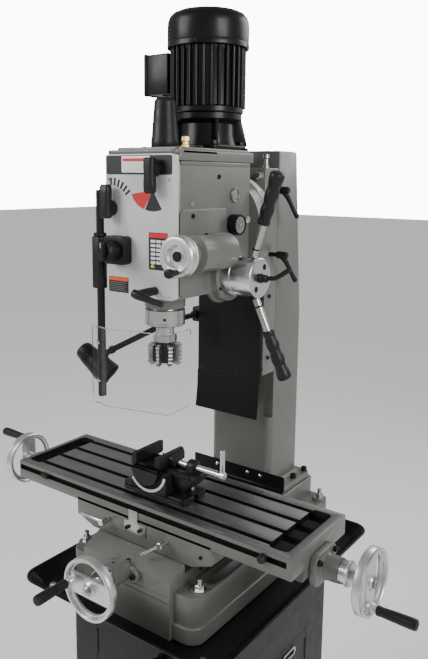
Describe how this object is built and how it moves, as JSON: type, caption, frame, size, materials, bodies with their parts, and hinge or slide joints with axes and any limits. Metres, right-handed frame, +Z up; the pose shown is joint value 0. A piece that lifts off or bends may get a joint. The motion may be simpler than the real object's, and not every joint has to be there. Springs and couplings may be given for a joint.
{
  "type": "vertical milling machine",
  "caption": "Bench-type vertical milling machine with geared tilting head, square column, compound table and vise on a cabinet stand",
  "frame": {"origin": "centre of the cabinet stand's underside, on the floor plane", "axes": "+Z up; the operator stands on the -Y side, so the front faces -Y; +X is the operator's right, along the table's travel"},
  "size_m": [1.2386, 0.9013, 2.142],
  "materials": {
    "casting": "satin warm-grey machine enamel on cast iron",
    "casting_silver": "light silver-grey paint on the front panel",
    "black_gloss": "gloss black enamel on motor, tray and way cover",
    "black_plastic": "black moulded plastic and blackened metal on grips, knobs and vise",
    "stand_grey": "dark grey powder coat on sheet steel",
    "ground_steel": "ground and turned bright steel",
    "dark_steel": "dark oiled steel on cutter, rotor and gears",
    "aluminium": "turned and polished cast aluminium",
    "clear": "clear polycarbonate sheet"
  },
  "bodies": {
    "stand": {"stand_cabinet": "stand_grey", "chip_tray": "black_gloss", "base_casting": "casting", "cross_screw_bracket": "casting", "column": "casting", "column_chip_plate": "black_gloss"},
    "front_door": {"stand_front_door": "stand_grey"},
    "side_door": {"stand_side_door": "stand_grey"},
    "cross_screw": {"cross_leadscrew": "ground_steel", "cross_handwheel": "aluminium"},
    "cross_grip": {"cross_handle": "black_plastic"},
    "saddle_unit": {"saddle": "casting"},
    "saddle_lock_left": {"saddle_lock_lever_left": "aluminium"},
    "saddle_lock_right": {"saddle_lock_lever_right": "aluminium"},
    "table_unit": {"table": "casting", "table_bracket_left": "casting", "table_bracket_right": "casting", "vise_base": "black_plastic"},
    "table_screw": {"table_leadscrew": "ground_steel", "table_handwheel_left": "aluminium", "table_handwheel_right": "aluminium"},
    "table_grip_left": {"table_handle_left": "black_plastic"},
    "table_grip_right": {"table_handle_right": "black_plastic"},
    "vise_bed": {"vise_body": "black_plastic"},
    "vise_jaw": {"vise_moving_jaw": "black_plastic"},
    "vise_spindle": {"vise_screw": "ground_steel"},
    "lift_screw": {"elevation_screw": "ground_steel"},
    "lift_crank": {"elevation_crank": "aluminium"},
    "slide_unit": {"head_slide": "casting", "way_cover": "black_gloss", "lamp_bracket": "black_plastic"},
    "slide_lock_upper": {"slide_lock_lever_upper": "black_plastic"},
    "slide_lock_lower": {"slide_lock_lever_lower": "black_plastic"},
    "head": {"head_casting": "casting", "head_top_cover": "casting", "front_panel": "casting_silver", "drawbar_cap": "black_plastic", "motor_adapter": "black_gloss", "motor_body": "black_gloss", "motor_fan_cover": "black_gloss", "junction_box": "black_gloss", "guard_clamp": "black_plastic"},
    "rotor": {"motor_rotor": "dark_steel"},
    "countershaft": {"gear_shaft": "dark_steel"},
    "quill_unit": {"quill": "ground_steel"},
    "spindle_unit": {"spindle": "ground_steel", "face_mill": "dark_steel"},
    "feed_unit": {"feed_hub": "aluminium", "feed_handle_upper": "black_plastic", "feed_handle_lower": "black_plastic"},
    "clutch": {"clutch_lever": "black_plastic"},
    "fine_feed": {"fine_feed_wheel": "aluminium"},
    "shift_left": {"shift_lever_left": "black_plastic"},
    "shift_right": {"shift_lever_right": "black_plastic"},
    "switch": {"switch_knob": "black_plastic"},
    "quill_lock": {"quill_lock_lever": "black_plastic"},
    "guard": {"guard_rod": "black_plastic", "guard_shield": "clear"},
    "lamp_lower": {"lamp_arm": "black_plastic"},
    "lamp_shade": {"lamp_head": "black_plastic"}
  },
  "joints": [
    {"name": "front_door_hinge", "type": "hinge", "parent": "stand", "child": "front_door", "pos_m": [-0.132, -0.273, 0.4], "axis": [0, 0, -1], "range_deg": [0, 110]},
    {"name": "side_door_hinge", "type": "hinge", "parent": "stand", "child": "side_door", "pos_m": [0.213, 0.161, 0.34], "axis": [0, 0, 1], "range_deg": [0, 110]},
    {"name": "saddle_slide", "type": "slide", "parent": "stand", "child": "saddle_unit", "axis": [0, -1, 0], "range_m": [-0.095, 0.1]},
    {"name": "cross_screw_turn", "type": "hinge", "parent": "stand", "child": "cross_screw", "pos_m": [0, -0.422, 0.89], "axis": [0, -1, 0], "range_deg": [-6900, 7250]},
    {"name": "cross_handle_spin", "type": "hinge", "parent": "cross_screw", "child": "cross_grip", "pos_m": [-0.056, -0.435, 0.89], "axis": [0, -1, 0], "continuous": true},
    {"name": "saddle_lock_left_turn", "type": "hinge", "parent": "saddle_unit", "child": "saddle_lock_left", "pos_m": [-0.095, -0.265, 0.957], "axis": [0, -1, 0], "range_deg": [-20, 30]},
    {"name": "saddle_lock_right_turn", "type": "hinge", "parent": "saddle_unit", "child": "saddle_lock_right", "pos_m": [0.082, -0.265, 0.957], "axis": [0, -1, 0], "range_deg": [-30, 20]},
    {"name": "table_slide", "type": "slide", "parent": "saddle_unit", "child": "table_unit", "axis": [-1, 0, 0], "range_m": [-0.185, 0.175]},
    {"name": "table_screw_turn", "type": "hinge", "parent": "table_unit", "child": "table_screw", "pos_m": [0, -0.144, 0.96], "axis": [-1, 0, 0], "range_deg": [-13400, 12700]},
    {"name": "table_handle_left_spin", "type": "hinge", "parent": "table_screw", "child": "table_grip_left", "pos_m": [-0.541, -0.144, 1.016], "axis": [-1, 0, 0], "continuous": true},
    {"name": "table_handle_right_spin", "type": "hinge", "parent": "table_screw", "child": "table_grip_right", "pos_m": [0.519, -0.144, 0.904], "axis": [-1, 0, 0], "continuous": true},
    {"name": "vise_tilt", "type": "hinge", "parent": "table_unit", "child": "vise_bed", "pos_m": [-0.015, -0.171, 1.088], "axis": [0, -1, 0], "range_deg": [0, 30]},
    {"name": "vise_jaw_slide", "type": "slide", "parent": "vise_bed", "child": "vise_jaw", "axis": [1, 0, 0], "range_m": [-0.045, 0.022]},
    {"name": "vise_screw_turn", "type": "hinge", "parent": "vise_jaw", "child": "vise_spindle", "pos_m": [0.163, -0.171, 1.1], "axis": [1, 0, 0], "range_deg": [-4100, 2000]},
    {"name": "head_elevation", "type": "slide", "parent": "stand", "child": "slide_unit", "axis": [0, 0, 1], "range_m": [-0.09, 0.035]},
    {"name": "elevation_screw_turn", "type": "hinge", "parent": "stand", "child": "lift_screw", "pos_m": [0, 0.185, 1.16], "axis": [0, 0, 1], "range_deg": [-8200, 3200]},
    {"name": "elevation_crank_turn", "type": "hinge", "parent": "stand", "child": "lift_crank", "pos_m": [-0.095, 0.195, 1.63], "axis": [-1, 0, 0], "range_deg": [-16400, 6400]},
    {"name": "slide_lock_upper_turn", "type": "hinge", "parent": "slide_unit", "child": "slide_lock_upper", "pos_m": [0.0953, 0.124, 1.726], "axis": [1, 0, 0], "range_deg": [-30, 30]},
    {"name": "slide_lock_lower_turn", "type": "hinge", "parent": "slide_unit", "child": "slide_lock_lower", "pos_m": [0.0953, 0.124, 1.567], "axis": [1, 0, 0], "range_deg": [-30, 30]},
    {"name": "head_tilt", "type": "hinge", "parent": "slide_unit", "child": "head", "pos_m": [0, 0.0603, 1.64], "axis": [0, -1, 0], "range_deg": [-15, 30]},
    {"name": "motor_spin", "type": "hinge", "parent": "head", "child": "rotor", "pos_m": [0, -0.016, 1.706], "axis": [0, 0, 1], "continuous": true},
    {"name": "gear_shaft_spin", "type": "hinge", "parent": "head", "child": "countershaft", "pos_m": [0.03, -0.05, 1.605], "axis": [0, 0, 1], "continuous": true},
    {"name": "quill_feed", "type": "slide", "parent": "head", "child": "quill_unit", "axis": [0, 0, -1], "range_m": [0, 0.08], "stiffness_N_per_m": 400, "springref_m": -0.25},
    {"name": "spindle_spin", "type": "hinge", "parent": "quill_unit", "child": "spindle_unit", "pos_m": [0, -0.173, 1.424], "axis": [0, 0, 1], "continuous": true},
    {"name": "coarse_feed_turn", "type": "hinge", "parent": "head", "child": "feed_unit", "pos_m": [0, -0.08, 1.537], "axis": [1, 0, 0], "range_deg": [0, 185]},
    {"name": "clutch_turn", "type": "hinge", "parent": "feed_unit", "child": "clutch", "pos_m": [0.1953, -0.08, 1.537], "axis": [1, 0, 0], "range_deg": [-40, 40]},
    {"name": "fine_feed_turn", "type": "hinge", "parent": "head", "child": "fine_feed", "pos_m": [0.131, -0.302, 1.598], "axis": [0, -1, 0], "continuous": true},
    {"name": "shift_left_turn", "type": "hinge", "parent": "head", "child": "shift_left", "pos_m": [-0.077, -0.262, 1.687], "axis": [0, -1, 0], "range_deg": [-35, 35]},
    {"name": "shift_right_turn", "type": "hinge", "parent": "head", "child": "shift_right", "pos_m": [0.049, -0.262, 1.773], "axis": [0, -1, 0], "range_deg": [-35, 35]},
    {"name": "switch_turn", "type": "hinge", "parent": "head", "child": "switch", "pos_m": [-0.05, -0.288, 1.598], "axis": [0, -1, 0], "range_deg": [-60, 60]},
    {"name": "quill_lock_turn", "type": "hinge", "parent": "head", "child": "quill_lock", "pos_m": [0.046, -0.262, 1.516], "axis": [0, -1, 0], "range_deg": [-40, 40]},
    {"name": "guard_swing", "type": "hinge", "parent": "head", "child": "guard", "pos_m": [-0.122, -0.254, 1.236], "axis": [0, 0, 1], "range_deg": [-110, 0]},
    {"name": "lamp_swing", "type": "hinge", "parent": "slide_unit", "child": "lamp_lower", "pos_m": [-0.115, 0.098, 1.391], "axis": [0, 1, 0], "range_deg": [-15, 15]},
    {"name": "lamp_shade_turn", "type": "hinge", "parent": "lamp_lower", "child": "lamp_shade", "pos_m": [-0.2098, -0.1434, 1.3202], "axis": [-0.5329, -0.7497, -0.3923], "range_deg": [-20, 20]}
  ],
  "couplings": [
    {"joint": "cross_screw_turn", "follows": "saddle_slide", "rad_per_m": 1256.6},
    {"joint": "table_screw_turn", "follows": "table_slide", "rad_per_m": 1256.6},
    {"joint": "vise_screw_turn", "follows": "vise_jaw_slide", "rad_per_m": 1570.8},
    {"joint": "elevation_screw_turn", "follows": "head_elevation", "rad_per_m": 1570.8},
    {"joint": "elevation_crank_turn", "follows": "head_elevation", "rad_per_m": 3141.6},
    {"joint": "coarse_feed_turn", "follows": "quill_feed", "rad_per_m": 40},
    {"joint": "gear_shaft_spin", "follows": "motor_spin", "ratio": -0.5},
    {"joint": "spindle_spin", "follows": "motor_spin", "ratio": 0.4}
  ]
}
